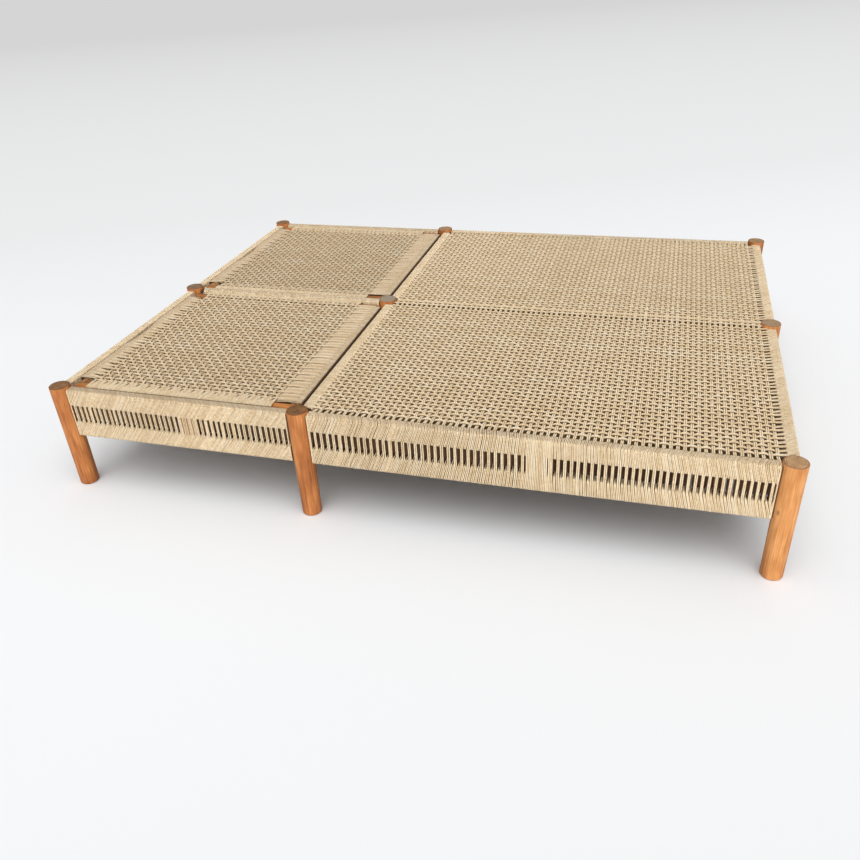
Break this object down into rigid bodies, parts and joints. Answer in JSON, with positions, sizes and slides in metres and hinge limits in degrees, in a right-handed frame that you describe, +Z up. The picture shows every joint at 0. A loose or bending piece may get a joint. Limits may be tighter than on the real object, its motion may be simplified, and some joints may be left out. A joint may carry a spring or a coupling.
{
  "type": "charpai daybed",
  "caption": "Low double charpai on round posts: two fixed woven beds and two woven backrests that hinge up on steel props over notched racks.",
  "frame": {"origin": "on the floor, under the centre of the part's bounding box", "axes": "+X along the length towards the fixed beds, +Y across towards the back, +Z up"},
  "size_m": [2.012, 1.577, 0.33],
  "materials": {
    "post_wood": "oiled, warm orange-brown sides with darker end grain on top",
    "rail_wood": "oiled",
    "panel_wood": "oiled, slightly darker than the posts",
    "apron_cord": "twisted paper or jute cord, matt, pale straw",
    "weave_cord": "twisted paper or jute cord, matt, pale straw",
    "steel": "satin"
  },
  "bodies": {
    "frame": {"post_front_left": "post_wood", "post_front_middle": "post_wood", "post_front_right": "post_wood", "post_centre_left": "post_wood", "post_centre_middle": "post_wood", "post_centre_right": "post_wood", "post_back_left": "post_wood", "post_back_middle": "post_wood", "post_back_right": "post_wood", "upper_rail_front_left": "rail_wood", "upper_rail_front_right": "rail_wood", "upper_rail_right_front": "rail_wood", "upper_rail_right_back": "rail_wood", "upper_rail_back_right": "rail_wood", "upper_rail_back_left": "rail_wood", "upper_rail_left_back": "rail_wood", "upper_rail_left_front": "rail_wood", "lower_rail_front_left": "rail_wood", "lower_rail_front_right": "rail_wood", "lower_rail_right_front": "rail_wood", "lower_rail_right_back": "rail_wood", "lower_rail_back_right": "rail_wood", "lower_rail_back_left": "rail_wood", "lower_rail_left_back": "rail_wood", "lower_rail_left_front": "rail_wood", "apron_cord_front_left": "apron_cord", "apron_cord_front_right": "apron_cord", "apron_cord_right_front": "apron_cord", "apron_cord_right_back": "apron_cord", "apron_cord_back_right": "apron_cord", "apron_cord_back_left": "apron_cord", "apron_cord_left_back": "apron_cord", "apron_cord_left_front": "apron_cord", "centre_left_upper_rail": "rail_wood", "centre_left_lower_rail": "rail_wood", "centre_left_rail_cord": "apron_cord", "centre_right_rail": "rail_wood", "cross_rail_front": "rail_wood", "cross_rail_back": "rail_wood", "right_front_weave": "weave_cord", "right_back_weave": "weave_cord", "rack_front_outer": "rail_wood", "rack_front_inner": "rail_wood", "rack_back_inner": "rail_wood", "rack_back_outer": "rail_wood", "hinge_pin_front": "steel", "hinge_pin_centre": "steel", "hinge_pin_back": "steel"},
    "front_backrest": {"front_backrest_front_rail": "panel_wood", "front_backrest_rear_rail": "panel_wood", "front_backrest_left_rail": "panel_wood", "front_backrest_right_rail": "panel_wood", "front_backrest_weave": "weave_cord"},
    "back_backrest": {"back_backrest_front_rail": "panel_wood", "back_backrest_rear_rail": "panel_wood", "back_backrest_left_rail": "panel_wood", "back_backrest_right_rail": "panel_wood", "back_backrest_weave": "weave_cord"},
    "front_prop": {"front_prop": "steel"},
    "back_prop": {"back_prop": "steel"}
  },
  "joints": [
    {"name": "front_backrest_hinge", "type": "hinge", "parent": "frame", "child": "front_backrest", "pos_m": [-0.2825, -0.38, 0.302], "axis": [0, 1, 0], "range_deg": [0, 60]},
    {"name": "back_backrest_hinge", "type": "hinge", "parent": "frame", "child": "back_backrest", "pos_m": [-0.2825, 0.38, 0.302], "axis": [0, 1, 0], "range_deg": [0, 60]},
    {"name": "front_prop_swing", "type": "hinge", "parent": "front_backrest", "child": "front_prop", "pos_m": [-0.5025, -0.38, 0.302], "axis": [0, 1, 0], "range_deg": [-93.5, 0]},
    {"name": "back_prop_swing", "type": "hinge", "parent": "back_backrest", "child": "back_prop", "pos_m": [-0.5025, 0.38, 0.302], "axis": [0, 1, 0], "range_deg": [-93.5, 0]}
  ],
  "couplings": [
    {"joint": "front_prop_swing", "follows": "front_backrest_hinge", "ratio": -1.5575},
    {"joint": "back_prop_swing", "follows": "back_backrest_hinge", "ratio": -1.5575}
  ]
}
